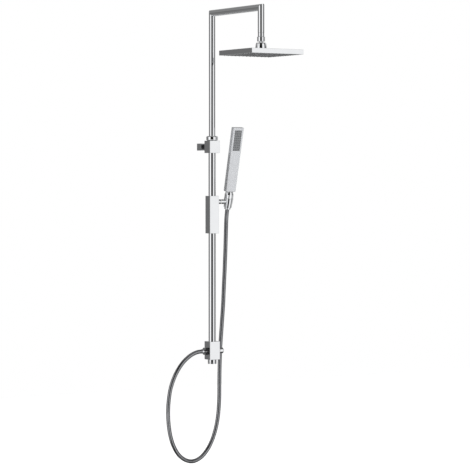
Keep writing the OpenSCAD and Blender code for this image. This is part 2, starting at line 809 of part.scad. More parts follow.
module diverter_knob() {
  color("silver") at_knob(block_x + knob_gap) difference() {
    barrel(knob_d / 2, 0, knob_len, knob_round);
    rod(knob_spindle_r + fit / 2, -1, knob_socket);
    translate([0, 0, knob_screw_at - block_x - knob_gap]) rotate([0, 90, 0])
      rod(knob_screw_r + fit, 0, knob_d);
  }
}
module knob_grub_screw() {
  color("dimgray") at_knob(knob_screw_at) rotate([0, 90, 0]) difference() {
    rod(knob_screw_r, knob_spindle_r + fit, knob_d / 2 - 2);
    translate([0, 0, knob_d / 2 - 3.5]) cylinder(h = 4, r = 0.8, $fn = 6);
  }
}
module inlet_tailpiece() {
  color("goldenrod") at_riser() difference() {
    union() {
      rod(tail_spigot_r, diverter_foot, diverter_foot + tail_spigot_len);
      rod(tailpiece_r, flange_z - 1, diverter_foot + 1);
      rod(inlet_flange_r, flange_z - flange_t, flange_z);
    }
    rod(6, -big * 3, 0);
  }
}
module inlet_nut() {
  color("silver") at_riser() difference() {
    barrel(inlet_nut_r, inlet_foot, inlet_top, 1);
    rod(inlet_thread_d / 2, inlet_foot - 1, thread_top);
    rod(inlet_flange_r + loose, inlet_foot - 1, inlet_top - inlet_web);
    rod(tailpiece_r + loose, inlet_foot - 1, inlet_top + 1);
  }
}
module inlet_washer() {
  color("black") at_riser()
    ring(inlet_flange_r, 6.5, flange_z - flange_t - inlet_seal_t, flange_z - flange_t);
}

wall_sleeve();
sleeve_grub_screw();
wall_neck();
wall_bracket();
lower_riser();
collet_ring();
locking_collar();
guide_bush();
guide_o_rings();
upper_riser();
overhead_arm();
drop_tube();
drop_nipple();
drop_ferrule();
ball_stud();
flow_limiter();
ball_ring();
ball_socket();
ball_bell();
socket_nut();
rose_cover();
rose_face();
rose_nozzles();
rose_screws();
slider_body();
slider_liners();
brake_pad();
brake_plug();
holder_pin();
friction_washer();
holder_cup();
holder_screw();
handset_body();
handset_tail();
check_valve();
spray_plate();
spray_nozzles();
cone_nut();
top_washer();
top_ferrule();
hose_end();
hose_bend();
hose();
bottom_ferrule();
outlet_nut();
outlet_washer();
outlet_nipple();
diverter_block();
diverter_cartridge();
cartridge_o_ring();
diverter_spindle();
diverter_knob();
knob_grub_screw();
inlet_tailpiece();
inlet_nut();
inlet_washer();
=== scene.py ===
# %% [markdown]
# # A rainfall shower column in chrome
#
# A diverter block stands on a union nut. It carries a telescopic riser, which a bracket holds off the
# wall. On the riser are a locking collar, a slider with the hand shower, and at the top a mitred arm
# with a square rose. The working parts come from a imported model, and every piece made here takes
# its place and size from that model. The work goes in this order: the frame, the camera, the hose,
# the finishes, the pieces one by one, and the studio.

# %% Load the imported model
import json
import math

import bpy
from mathutils import Matrix, Vector


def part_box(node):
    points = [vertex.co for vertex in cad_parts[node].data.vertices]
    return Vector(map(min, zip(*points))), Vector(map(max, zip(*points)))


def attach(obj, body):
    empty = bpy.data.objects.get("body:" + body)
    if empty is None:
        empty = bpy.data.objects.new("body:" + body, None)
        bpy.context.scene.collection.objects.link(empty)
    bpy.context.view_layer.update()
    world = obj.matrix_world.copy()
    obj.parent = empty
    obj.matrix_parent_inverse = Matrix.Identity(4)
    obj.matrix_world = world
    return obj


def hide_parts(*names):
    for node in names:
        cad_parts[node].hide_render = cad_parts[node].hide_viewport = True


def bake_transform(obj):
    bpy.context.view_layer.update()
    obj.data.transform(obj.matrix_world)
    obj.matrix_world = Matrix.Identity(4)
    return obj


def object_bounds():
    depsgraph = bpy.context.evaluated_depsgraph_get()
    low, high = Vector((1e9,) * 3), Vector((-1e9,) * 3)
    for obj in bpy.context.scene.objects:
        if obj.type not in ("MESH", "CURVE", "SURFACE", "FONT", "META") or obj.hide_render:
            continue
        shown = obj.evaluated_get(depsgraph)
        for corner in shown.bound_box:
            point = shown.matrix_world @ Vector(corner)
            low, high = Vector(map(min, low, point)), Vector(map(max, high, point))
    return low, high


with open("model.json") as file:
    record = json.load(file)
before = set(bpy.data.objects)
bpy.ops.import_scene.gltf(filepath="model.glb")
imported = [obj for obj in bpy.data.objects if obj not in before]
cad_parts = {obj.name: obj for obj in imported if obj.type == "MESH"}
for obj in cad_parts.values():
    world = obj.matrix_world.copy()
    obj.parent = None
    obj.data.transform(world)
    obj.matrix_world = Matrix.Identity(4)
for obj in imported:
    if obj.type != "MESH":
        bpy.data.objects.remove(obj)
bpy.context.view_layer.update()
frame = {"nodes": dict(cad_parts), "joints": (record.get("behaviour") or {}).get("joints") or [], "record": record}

mm = 0.001
record = frame["record"]
body_of = {node: body for body, nodes in record["behaviour"]["bodies"].items() for node in nodes}
slot_of = {part["node"]: part["material_slot"] for part in record["subparts"]}
joint = {each["name"]: each for each in frame["joints"]}

# %% [markdown]
# ## Where things are
#
# Two places drive the rest: the riser's axis, and the pivot of the hand shower's holder. The hand
# shower leans forward, so a box along X, Y and Z says little about it. Turning its points upright
# about the pivot first gives its true heights and widths.

# %% Axes of the column and of the hand shower
def middle(node):
    low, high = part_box(node)
    return (low + high) / 2


def half(node):
    low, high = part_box(node)
    return (high - low) / 2


riser = Vector((middle("lower_riser").x, middle("lower_riser").y, 0))
rose_axis = Vector((middle("rose_cover").x, middle("rose_cover").y, 0))
pivot = Vector(joint["holder_tilt"]["pos_m"])
lean = math.atan2(-joint["handset_lift"]["axis"][1], joint["handset_lift"]["axis"][2])
leaning = Matrix.Translation(pivot) @ Matrix.Rotation(lean, 4, "X")


def upright_box(node):
    """Lowest and highest corner of a node in the hand shower's own upright frame."""
    points = [leaning.inverted() @ v.co for v in frame["nodes"][node].data.vertices]
    low = Vector([min(p[k] for p in points) for k in range(3)])
    high = Vector([max(p[k] for p in points) for k in range(3)])
    return low, high


print("riser at y", round(riser.y, 4), "rose at y", round(rose_axis.y, 4),
      "lean", round(math.degrees(lean), 2), "degrees")

# %% [markdown]
# ## Camera
#
# A long lens far away keeps the tall column upright and nearly without perspective. It looks
# along the wall from the left, a little below the height of the wall bracket, and tips down by
# less than two degrees.

# %% Camera
camera_turn = math.radians(32.4)
camera_tip = 0.031
camera_far = 7.0
camera_aside = 77.9 * mm
camera_height = -83.5 * mm
lens_mm, sensor_mm = 157.13, 36
ahead = Vector((math.sin(camera_turn), math.cos(camera_turn), 0))
rightward = Vector((math.cos(camera_turn), -math.sin(camera_turn), 0))
camera_data = bpy.data.cameras.new("long_lens")
camera_data.sensor_width = sensor_mm
camera_data.lens = lens_mm
camera_data.clip_end = 200
camera = bpy.data.objects.new("camera", camera_data)
bpy.context.scene.collection.objects.link(camera)
bpy.context.scene.camera = camera
camera.location = riser - camera_far * ahead + camera_aside * rightward + Vector((0, 0, camera_height))
looking = ahead * math.cos(camera_tip) - Vector((0, 0, math.sin(camera_tip)))
camera.rotation_euler = looking.to_track_quat("-Z", "Y").to_euler()
print("camera at", [round(x, 3) for x in camera.location])

# %% [markdown]
# ## The metal hose
#
# The hose is a strip of steel wound into a tube whose edges lock into each other, so it shows a fine
# spiral groove. It leaves the nut below the hand shower, hangs down beside the riser, swings
# round in a loop below the block and comes back up to the outlet. A fixed point list gives the
# hang, a smooth curve goes through it, and a ring of points that follows the curve is pressed
# in wherever the spiral groove passes. It is made as three lengths that meet end to end.

# %% The hose's route, in millimetres
hose_r = 7 * mm
hose_end_route = [(65, -70, -230), (65, -67, -253), (65, -65.5, -277), (64.5, -65, -300)]
hose_bend_route = [(64.5, -65, -300), (63.5, -65, -330), (62.5, -65, -360), (61, -65, -390)]
hose_route = [
    (61, -65, -390), (59.5, -65, -425), (57.5, -65, -460), (55.5, -65, -500), (53.5, -65, -540),
    (51, -64, -580), (49, -62, -620), (47, -60, -660), (45.5, -58, -700), (44, -58, -740),
    (43, -58, -780), (42.5, -58, -820), (42, -58, -860), (40, -57.5, -900), (35.5, -57, -937),
    (27, -57, -972), (14, -57, -1006), (-5, -57.5, -1037), (-32, -59, -1062), (-65, -61.5, -1073),
    (-98, -64.5, -1066), (-127, -67.5, -1045), (-148, -70, -1014), (-162, -72.5, -978),
    (-170, -74.5, -938), (-173, -76, -898), (-171, -77, -858), (-165, -78, -821),
    (-154, -79, -788), (-138, -80, -758), (-116, -80, -731), (-90, -80, -711), (-65, -80, -700)]


def in_metres(points):
    return [Vector(p) * mm for p in points]


ferrule_low = upright_box("top_ferrule")[0].z
down_lean = (leaning.to_3x3() @ Vector((0, 0, -1))).normalized()
hose_start = leaning @ Vector((0, 0, ferrule_low))
outlet_end = Vector((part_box("bottom_ferrule")[0].x, riser.y, middle("bottom_ferrule").z))
end_points = [hose_start] + in_metres(hose_end_route)
bend_points = in_metres(hose_bend_route)
hose_points = in_metres(hose_route) + [outlet_end]
print("hose from", [round(x, 4) for x in hose_start], "to", [round(x, 4) for x in outlet_end])


# %% A smooth curve through the points
def curve_through(points, before, after, spacing):
    """Points at equal spacing on a curve through all of points; before and after lead in and out."""
    run = [before] + points + [after]
    fine = []
    for a, b, c, d in zip(run, run[1:], run[2:], run[3:]):
        pieces = max(8, int((c - b).length / (0.4 * mm)))
        for i in range(pieces):
            t = i / pieces
            fine.append(0.5 * (2 * b + (c - a) * t + (2 * a - 5 * b + 4 * c - d) * t * t
                               + (3 * b - a - 3 * c + d) * t ** 3))
    fine.append(points[-1])
    lengths = [0.0]
    for p, q in zip(fine, fine[1:]):
        lengths.append(lengths[-1] + (q - p).length)
    count = max(2, round(lengths[-1] / spacing))
    even, k = [], 0
    for i in range(count + 1):
        goal = lengths[-1] * i / count
        while k < len(fine) - 2 and lengths[k + 1] < goal:
            k += 1
        share = (goal - lengths[k]) / max(lengths[k + 1] - lengths[k], 1e-12)
        even.append(fine[k].lerp(fine[k + 1], min(max(share, 0), 1)))
    return even, lengths[-1]


# %% Sweep a grooved tube along the curve
groove_pitch = 3.2 * mm
groove_depth = 0.16 * mm
rings_per_turn = 8
tube_sides = 20


def grooved_tube(name, line, radius):
    """A closed tube along line with one spiral groove, and how deep each point lies in that groove."""
    points, depths, faces = [], [], []
    side = (line[1] - line[0]).orthogonal().normalized()
    for i, centre in enumerate(line):
        way = (line[min(i + 1, len(line) - 1)] - line[max(i - 1, 0)]).normalized()
        side = (side - way * side.dot(way)).normalized()
        other = way.cross(side)
        for k in range(tube_sides):
            around = k / tube_sides
            turn = i / rings_per_turn - around
            deep = max(0.0, math.cos(2 * math.pi * turn)) ** 3
            reach = radius - groove_depth * deep
            points.append(centre + reach * (math.cos(2 * math.pi * around) * side
                                            + math.sin(2 * math.pi * around) * other))
            depths.append(deep)
    for i in range(len(line) - 1):
        for k in range(tube_sides):
            nxt = (k + 1) % tube_sides
            faces.append((i * tube_sides + k, i * tube_sides + nxt,
                          (i + 1) * tube_sides + nxt, (i + 1) * tube_sides + k))
    last = (len(line) - 1) * tube_sides
    faces.append(tuple(reversed(range(tube_sides))))
    faces.append(tuple(range(last, last + tube_sides)))
    mesh = bpy.data.meshes.new(name)
    mesh.from_pydata([tuple(p) for p in points], [], faces)
    mesh.attributes.new("groove", "FLOAT", "POINT").data.foreach_set("value", depths)
    for face in mesh.polygons:
        face.use_smooth = len(face.vertices) == 4
    tube = bpy.data.objects.new(name, mesh)
    bpy.context.scene.collection.objects.link(tube)
    return tube


ring_gap = groove_pitch / rings_per_turn
end_line, end_length = curve_through(end_points, hose_start - 20 * mm * down_lean, bend_points[1], ring_gap)
bend_line, bend_length = curve_through(bend_points, end_points[-2], hose_points[1], ring_gap)
hose_line, hose_length = curve_through(hose_points, bend_points[-2],
                                       outlet_end + Vector((20 * mm, 0, 0)), ring_gap)
metal_hose_end = grooved_tube("metal_hose_end", end_line, hose_r)
metal_hose_bend = grooved_tube("metal_hose_bend", bend_line, hose_r)
metal_hose = grooved_tube("metal_hose", hose_line, hose_r)
print("hose lengths", round(end_length, 4), round(bend_length, 4), round(hose_length, 4),
      "metres, together", round(end_length + bend_length + hose_length, 3))

# %% [markdown]
# Each length stands in for one hose node of the imported model, which is hidden, and its placement is baked into
# its mesh.


def hose_stretch(tube, node):
    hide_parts(node)
    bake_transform(tube)


hose_stretch(metal_hose_end, "hose_end")
hose_stretch(metal_hose_bend, "hose_bend")
hose_stretch(metal_hose, "hose")
print("hose triangles", sum(2 * len(t.data.polygons) for t in (metal_hose, metal_hose_bend, metal_hose_end)))

# %% [markdown]
# ## Finishes
#
# Bright metal shows its surroundings more than itself, so its finish is nearly a mirror whose gloss and
# tint vary a little: polishing leaves faint waves and dried drops leave faint clouds. A
# shared builder makes a shader with one cloudy tint, one cloudy gloss and one fine relief, and
# each finish is then a short list of numbers for it.

# %% A shared builder for finishes
def new_finish(name, dark, light, metallic, gloss, cloud, grain, relief=0.01):
    """Tint between dark and light, roughness between the two values of gloss; sizes are in 1/metre."""
    finish = bpy.data.materials.new(name)
    finish.use_nodes = True
    tree = finish.node_tree
    shader = tree.nodes["Principled BSDF"]
    shader.inputs["Metallic"].default_value = metallic
    place = tree.nodes.new("ShaderNodeTexCoord")
    clouds = tree.nodes.new("ShaderNodeTexNoise")
    clouds.inputs["Scale"].default_value = cloud
    clouds.inputs["Detail"].default_value = 4
    tree.links.new(place.outputs["Object"], clouds.inputs["Vector"])
    tint = tree.nodes.new("ShaderNodeMix")
    tint.data_type = "RGBA"
    tint.inputs[6].default_value = (*dark, 1)
    tint.inputs[7].default_value = (*light, 1)
    tree.links.new(clouds.outputs["Fac"], tint.inputs[0])
    tree.links.new(tint.outputs[2], shader.inputs["Base Color"])
    shine = tree.nodes.new("ShaderNodeMapRange")
    shine.inputs["From Min"].default_value = 0.3
    shine.inputs["From Max"].default_value = 0.7
    shine.inputs["To Min"].default_value = gloss[0]
    shine.inputs["To Max"].default_value = gloss[1]
    tree.links.new(clouds.outputs["Fac"], shine.inputs["Value"])
    tree.links.new(shine.outputs["Result"], shader.inputs["Roughness"])
    fine = tree.nodes.new("ShaderNodeTexNoise")
    fine.inputs["Scale"].default_value = grain
    fine.inputs["Detail"].default_value = 3
    tree.links.new(place.outputs["Object"], fine.inputs["Vector"])
    bump = tree.nodes.new("ShaderNodeBump")
    bump.inputs["Strength"].default_value = relief
    bump.inputs["Distance"].default_value = 0.1 * mm
    tree.links.new(fine.outputs["Fac"], bump.inputs["Height"])
    tree.links.new(bump.outputs["Normal"], shader.inputs["Normal"])
    return finish


# %% Metal finishes
chrome = new_finish("polished_chrome", (0.83, 0.84, 0.86), (0.90, 0.91, 0.92), 1.0, (0.02, 0.05),
                    cloud=35, grain=120, relief=0.01)
plated_plastic = new_finish("plated_hand_shower", (0.55, 0.56, 0.58), (0.62, 0.63, 0.65), 0.7,
                            (0.16, 0.22), cloud=50, grain=260, relief=0.05)
raw_brass = new_finish("machined_brass", (0.58, 0.42, 0.18), (0.74, 0.57, 0.28), 1.0, (0.2, 0.34),
                       cloud=160, grain=1500, relief=0.25)
screw_steel = new_finish("stainless_screw", (0.45, 0.45, 0.46), (0.60, 0.60, 0.61), 1.0, (0.22, 0.34),
                         cloud=300, grain=1800, relief=0.2)
# Painted shade for the wall neck: a near-black metal stands in for the deep shade between the sleeve and the
# bracket.
neck_shade_metal = new_finish("neck_painted_shade", (0.05, 0.05, 0.055), (0.08, 0.08, 0.085), 1.0, (0.12, 0.2),
                        cloud=120, grain=600, relief=0.05)
print("metal finishes made")

# %% [markdown]
# The hose's finish reads the groove depth stored on its own mesh: the grooves are painted near-black as painted
# shade, and are made rougher.

# %% Finish of the hose
hose_steel = new_finish("wound_hose_steel", (0.33, 0.335, 0.35), (0.44, 0.445, 0.46), 1.0, (0.05, 0.1),
                        cloud=90, grain=700, relief=0.05)


# Mixes a painted shade colour and a higher roughness into the grooves, by the stored depth.
def paint_groove_shade(finish, groove_shade_colour, groove_roughness):
    tree = finish.node_tree
    shader = tree.nodes["Principled BSDF"]
    deep = tree.nodes.new("ShaderNodeAttribute")
    deep.attribute_name = "groove"
    for socket, kind, end in (("Base Color", "RGBA", groove_shade_colour), ("Roughness", "FLOAT", groove_roughness)):
        old = shader.inputs[socket].links[0].from_socket
        mix = tree.nodes.new("ShaderNodeMix")
        mix.data_type = kind
        low, high, out = (6, 7, 2) if kind == "RGBA" else (2, 3, 0)
        tree.links.new(deep.outputs["Fac"], mix.inputs[0])
        tree.links.new(old, mix.inputs[low])
        mix.inputs[high].default_value = end
        tree.links.new(mix.outputs[out], shader.inputs[socket])


# Painted shade in the hose's grooves.
paint_groove_shade(hose_steel, (0.04, 0.04, 0.045, 1), 0.35)

# %% [markdown]
# The other finishes are plastics and rubbers. The spray plates are satin grey, the nozzles are soft
# silicone that sheds scale, and the guides and liners are plain acetal, which is slightly waxy.

# %% Finishes of plastic and rubber
face_grey = new_finish("satin_grey_plate", (0.12, 0.125, 0.13), (0.17, 0.175, 0.18), 0.0, (0.32, 0.42),
                       cloud=60, grain=2500, relief=0.12)
silicone = new_finish("soft_silicone", (0.045, 0.046, 0.048), (0.07, 0.071, 0.073), 0.0, (0.45, 0.6),
                      cloud=200, grain=1200, relief=0.1)
black_rubber = new_finish("black_rubber", (0.018, 0.018, 0.02), (0.035, 0.035, 0.037), 0.0, (0.5, 0.68),
                          cloud=150, grain=1500, relief=0.2)
acetal = new_finish("moulded_acetal", (0.78, 0.77, 0.71), (0.86, 0.85, 0.80), 0.0, (0.32, 0.42),
                    cloud=120, grain=900, relief=0.06)
valve_blue = new_finish("moulded_blue", (0.08, 0.2, 0.5), (0.12, 0.28, 0.62), 0.0, (0.3, 0.42),
                        cloud=220, grain=1200, relief=0.06)
limiter_green = new_finish("moulded_green", (0.1, 0.4, 0.25), (0.15, 0.5, 0.33), 0.0, (0.3, 0.42),
                           cloud=220, grain=1200, relief=0.06)
finish_of = {
    "chrome": chrome, "hose_steel": hose_steel, "handset_silver": plated_plastic,
    "face_grey": face_grey, "silicone": silicone, "black_rubber": black_rubber, "acetal": acetal,
    "raw_brass": raw_brass, "steel_screw": screw_steel, "valve_blue": valve_blue,
    "limiter_green": limiter_green}


def paint(thing, slot):
    thing.data.materials.clear()
    thing.data.materials.append(finish_of[slot])


# The wall neck takes the painted-shade metal instead of its chrome; the hand shower's tail takes chrome.
own_finish = {"wall_neck": neck_shade_metal, "handset_tail": chrome}
for node, thing in frame["nodes"].items():
    for place in thing.material_slots:
        place.material = own_finish.get(node, finish_of[slot_of[node]])
for tube in (metal_hose, metal_hose_bend, metal_hose_end):
    paint(tube, "hose_steel")
print(len(finish_of), "finishes on", len(frame["nodes"]), "nodes")

# %% [markdown]
# ## Tools for the new pieces
#
# A machined block is a cube brought to size, drilled, and broken at its edges. A turned piece starts as
# a disc that is drawn up and scaled step by step, as a lathe would leave it. The edges that a
# real piece has never come to a point, and the thin lights along them are what make chrome
# look like metal, so every corner gets a small round.

# %% Selecting and finishing
def choose(piece):
    if bpy.context.object and bpy.context.object.mode != "OBJECT":
        bpy.ops.object.mode_set(mode="OBJECT")
    bpy.ops.object.select_all(action="DESELECT")
    if piece:
        piece.select_set(True)
        bpy.context.view_layer.objects.active = piece


def named(name):
    piece = bpy.context.object
    piece.name = piece.data.name = name
    bpy.ops.object.transform_apply(location=True, rotation=True, scale=True)
    return piece


def modify(piece, kind, **settings):
    choose(piece)
    bpy.ops.object.modifier_add(type=kind)
    modifier = piece.modifiers[-1]
    for setting, value in settings.items():
        setattr(modifier, setting, value)
    bpy.ops.object.modifier_apply(modifier=modifier.name)


def cut(piece, cutter, operation="DIFFERENCE"):
    modify(piece, "BOOLEAN", operation=operation, object=cutter, solver="EXACT")
    bpy.data.objects.remove(cutter)


def bevel(piece, width, segments=3):
    """Rounds every edge sharper than 30 degrees."""
    modify(piece, "BEVEL", width=width, segments=segments, limit_method="ANGLE",
           angle_limit=math.radians(30))


def soften(piece, width, segments=3):
    """Rounds the edges, and keeps the flat faces flat in the shading."""
    bevel(piece, width, segments)
    smooth(piece)


def smooth(piece):
    choose(piece)
    bpy.ops.object.shade_smooth_by_angle(angle=math.radians(35))
    modify(piece, "WEIGHTED_NORMAL", mode="FACE_AREA", weight=80, keep_sharp=True)


def put(piece, place):
    """Moves the piece to its place and leaves its origin at zero."""
    piece.matrix_world = place
    choose(piece)
    bpy.ops.object.transform_apply(location=True, rotation=True, scale=True)


def stands_for(piece, *nodes):
    """The piece takes the place, the body and the finish of these nodes."""
    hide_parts(*nodes)
    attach(piece, body_of[nodes[0]])
    paint(piece, slot_of[nodes[0]])
    print(piece.name, "stands for", ", ".join(nodes), "with", len(piece.data.polygons), "faces")


# %% Blocks and drilled holes
round_sides = 96
play = 0.1 * mm
slide_play = 0.3 * mm
past = 5 * mm


def up(axis, height):
    return axis + Vector((0, 0, height))


def sideways(axis, distance):
    return axis + Vector((distance, 0, 0))


def block(name, low, high):
    choose(None)
    bpy.ops.mesh.primitive_cube_add(size=1, location=(low + high) / 2, scale=high - low)
    return named(name)


def rod_between(radius, start, end, sides=round_sides):
    choose(None)
    along = end - start
    bpy.ops.mesh.primitive_cylinder_add(vertices=sides, radius=radius, depth=along.length,
                                        location=(start + end) / 2,
                                        rotation=along.to_track_quat("Z", "Y").to_euler())
    return named("rod")


def drill(piece, radius, start, end, sides=round_sides):
    cut(piece, rod_between(radius, start, end, sides))


# %% Turned pieces
def eased(profile, ease, closed=False):
    """The same outline with each corner replaced by a short round."""
    count = len(profile)
    soft = []
    for i, (radius, height) in enumerate(profile):
        if not closed and i in (0, count - 1):
            soft.append((radius, height))
            continue
        here = Vector((radius, height))
        back = Vector(profile[i - 1]) - here
        on = Vector(profile[(i + 1) % count]) - here
        reach = min(ease, 0.45 * back.length, 0.45 * on.length)
        first, last = here + back.normalized() * reach, here + on.normalized() * reach
        between = 0.25 * first + 0.5 * here + 0.25 * last
        soft += [tuple(first), tuple(between), tuple(last)]
    return soft


def turned(name, profile, place, ease=0.3 * mm, hollow=False):
    """Draws a disc, or a ring if hollow, up through the (radius, height) pairs of profile."""
    outline = eased(profile, ease, closed=hollow)
    if hollow:
        outline.append(outline[0])
    choose(None)
    radius, height = outline[0]
    bpy.ops.mesh.primitive_circle_add(vertices=round_sides, radius=radius, location=(0, 0, height),
                                      fill_type="NOTHING" if hollow else "NGON")
    piece = named(name)
    bpy.ops.object.mode_set(mode="EDIT")
    bpy.ops.mesh.select_mode(type="EDGE" if hollow else "FACE")
    bpy.ops.mesh.select_all(action="SELECT")
    for next_radius, next_height in outline[1:]:
        bpy.ops.mesh.extrude_region_move(TRANSFORM_OT_translate={"value": (0, 0, next_height - height)})
        grow = next_radius / radius
        bpy.ops.transform.resize(value=(grow, grow, 1), center_override=(0, 0, next_height))
        radius, height = next_radius, next_height
    bpy.ops.mesh.select_all(action="SELECT")
    bpy.ops.mesh.remove_doubles(threshold=1e-6)
    bpy.ops.mesh.normals_make_consistent(inside=False)
    bpy.ops.object.mode_set(mode="OBJECT")
    put(piece, place)
    smooth(piece)
    return piece


def standing(at):
    return Matrix.Translation(at)


def along_x(at, sign=1):
    """Turns a piece that stands on +Z to point along +X, or along -X with sign -1."""
    return Matrix.Translation(at) @ Matrix.Rotation(sign * math.pi / 2, 4, "Y")


def arc(radius, height, size, start, end, steps=6):
    """Points of an arc in the outline, with angles in degrees from straight outwards."""
    turns = [math.radians(start + (end - start) * i / steps) for i in range(steps + 1)]
    return [(radius + size * math.cos(a), height + size * math.sin(a)) for a in turns]


# %% [markdown]
# ## Wall bracket and sleeve
#
# The bracket is a plated brass block that is bored for the riser from top to bottom, and a square
# sleeve hides the wall bolt behind it. Both are milled bar with edges broken by well under a
# millimetre, so each is a drilled block with a narrow bevel.

# %% Wall bracket
riser_r = half("lower_riser").x
low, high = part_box("wall_bracket")
bracket = block("bracket_block", low, high)
drill(bracket, riser_r + play, up(riser, low.z - past), up(riser, high.z + past))
soften(bracket, 0.7 * mm)
stands_for(bracket, "wall_bracket")

# %% Square wall sleeve
low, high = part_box("wall_sleeve")
neck_r = half("wall_neck").x
sleeve = block("square_sleeve", low, high)
drill(sleeve, neck_r + play, Vector((0, low.y - past, 0)), Vector((0, high.y + past, 0)))
grub_r = half("sleeve_grub_screw").x
grub_y = (low.y + high.y) / 2
drill(sleeve, grub_r + play, Vector((0, grub_y, low.z - past)), Vector((0, grub_y, 0)), sides=32)
soften(sleeve, 0.5 * mm)
stands_for(sleeve, "wall_sleeve")

# %% [markdown]
# ## Locking collar
#
# Turning this collar by hand squeezes a ring on the telescope. Its outside is a barrel, which is a
# cylinder with large rounds, so its outline is two quarter arcs and a bore with a step.

# %% Locking collar
low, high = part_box("locking_collar")
collar_r = (high.x - low.x) / 2
collar_round = 4 * mm
upper_r = half("upper_riser").x
step_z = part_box("collet_ring")[1].z + 0.05 * mm
collar_outline = (
    [(riser_r + play, low.z)]
    + arc(collar_r - collar_round, low.z + collar_round, collar_round, -90, 0)
    + arc(collar_r - collar_round, high.z - collar_round, collar_round, 0, 90)
    + [(upper_r + slide_play, high.z), (upper_r + slide_play, step_z), (riser_r + play, step_z)])
collar = turned("collar_barrel", collar_outline, standing(riser), ease=0.25 * mm, hollow=True)
stands_for(collar, "locking_collar")

# %% [markdown]
# ## Bell over the ball joint
#
# The rose hangs on a ball. A bell covers the socket, and its shoulder curves in to a mouth that
# leaves the ball's neck room to tilt. The shoulder is a quarter of an ellipse that leans inward as
# it rises.

# %% Bell
low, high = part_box("ball_bell")
bell_r = (high.x - low.x) / 2
socket_r = half("ball_socket").x
bell_round = 4 * mm
foot_band = 2 * mm
bell_top_r = bell_r - 4.18 * mm
shoulder = [
    (bell_r - bell_round * (1 - math.cos(a)) - a / (math.pi / 2) * (bell_r - bell_round - bell_top_r),
     low.z + foot_band + (high.z - low.z - foot_band) * math.sin(a))
    for a in [math.radians(6 * i) for i in range(16)]]
mouth_r, throat_r, under_throat_r = 12.2 * mm, 9.35 * mm, 11.1 * mm
bell_outline = ([(socket_r + play, low.z), (bell_r, low.z)] + shoulder
                + [(mouth_r, high.z), (throat_r, high.z - 3.8 * mm), (under_throat_r, high.z - 8 * mm),
                   (socket_r + play, high.z - 10 * mm)])
bell = turned("bell_cover", bell_outline, standing(rose_axis), ease=0.25 * mm, hollow=True)
stands_for(bell, "ball_bell")

# %% [markdown]
# ## Square rose
#
# The rose is a pressed tray with a plate set into its underside. The tray starts as a slab: its under
# face is inset by the wall and pushed up, and all edges get a fine round. The nozzles are one
# soft mat, with a tapered teat for each hole.

# %% Tray of the rose
low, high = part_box("rose_cover")
rose_wall = 2 * mm
tray = block("rose_tray", low, high)
bpy.ops.object.mode_set(mode="EDIT")
bpy.ops.mesh.select_mode(type="FACE")
bpy.ops.mesh.select_all(action="DESELECT")
bpy.ops.object.mode_set(mode="OBJECT")
for face in tray.data.polygons:
    face.select = face.normal.z < -0.9
bpy.ops.object.mode_set(mode="EDIT")
bpy.ops.mesh.inset(thickness=rose_wall)
bpy.ops.mesh.extrude_region_move(TRANSFORM_OT_translate={"value": (0, 0, high.z - low.z - rose_wall)})
bpy.ops.object.mode_set(mode="OBJECT")
spigot_r = 9.55 * mm
drill(tray, spigot_r, up(rose_axis, high.z - 4 * mm), up(rose_axis, high.z + 4 * mm))
soften(tray, 0.5 * mm)
stands_for(tray, "rose_cover")


# %% One soft teat, copied to every hole
def teat(name, root, tip, length):
    """A tapered nozzle with a dimple in its tip, pointing down from the origin."""
    choose(None)
    bpy.ops.mesh.primitive_circle_add(vertices=12, radius=root, fill_type="NGON", location=(0, 0, 0))
    piece = named(name)
    bpy.ops.object.mode_set(mode="EDIT")
    bpy.ops.mesh.select_mode(type="FACE")
    bpy.ops.mesh.select_all(action="SELECT")
    radius, depth = root, 0.0
    for next_radius, next_depth in ((tip * 1.12, length * 0.8), (tip, length), (tip * 0.5, length),
                                    (tip * 0.4, length * 0.55)):
        bpy.ops.mesh.extrude_region_move(TRANSFORM_OT_translate={"value": (0, 0, depth - next_depth)})
        grow = next_radius / radius
        bpy.ops.transform.resize(value=(grow, grow, 1), center_override=(0, 0, -next_depth))
        radius, depth = next_radius, next_depth
    bpy.ops.mesh.select_all(action="SELECT")
    bpy.ops.mesh.normals_make_consistent(inside=False)
    bpy.ops.object.mode_set(mode="OBJECT")
    bpy.ops.object.shade_smooth_by_angle(angle=math.radians(50))
    return piece


def field_of(name, first, places, mat):
    """Copies first, which stands at the origin, to every place and joins the copies to the mat."""
    copies = []
    for i, place in enumerate(places):
        copy = bpy.data.objects.new(f"{name}_{i}", first.data.copy())
        copy.data.transform(place)
        bpy.context.scene.collection.objects.link(copy)
        copies.append(copy)
    bpy.data.objects.remove(first)
    choose(mat)
    for copy in copies:
        copy.select_set(True)
    bpy.ops.object.join()
    mat.name = mat.data.name = name
    return mat


rose_rows = 13
rose_pitch = 14.5 * mm
nozzle_r = 2 * mm
low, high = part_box("rose_nozzles")
mat_low_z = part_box("rose_face")[1].z
offsets = [(i - (rose_rows - 1) / 2) * rose_pitch for i in range(rose_rows)]
spots = [Matrix.Translation((rose_axis.x + x, rose_axis.y + y, mat_low_z))
         for x in offsets for y in offsets]
rose_mat = block("rose_mat", Vector((low.x, low.y, mat_low_z)), high)
first_teat = teat("teat", nozzle_r, 1.35 * mm, mat_low_z - low.z)
teats = field_of("rose_teats", first_teat, spots, rose_mat)
stands_for(teats, "rose_nozzles")

# %% [markdown]
# ## Slider and holder
#
# The slider is a long milled block that runs on the riser with a small play. A pin on its side carries
# the cup that the hand shower's cone nut drops into. The cup is a turned taper with a slot
# towards the wall, where the hose goes in.

# %% Slider block
low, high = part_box("slider_body")
slider = block("slider_block", low, high)
drill(slider, riser_r + slide_play, up(riser, low.z - past), up(riser, high.z + past))
soften(slider, 0.7 * mm)
stands_for(slider, "slider_body")

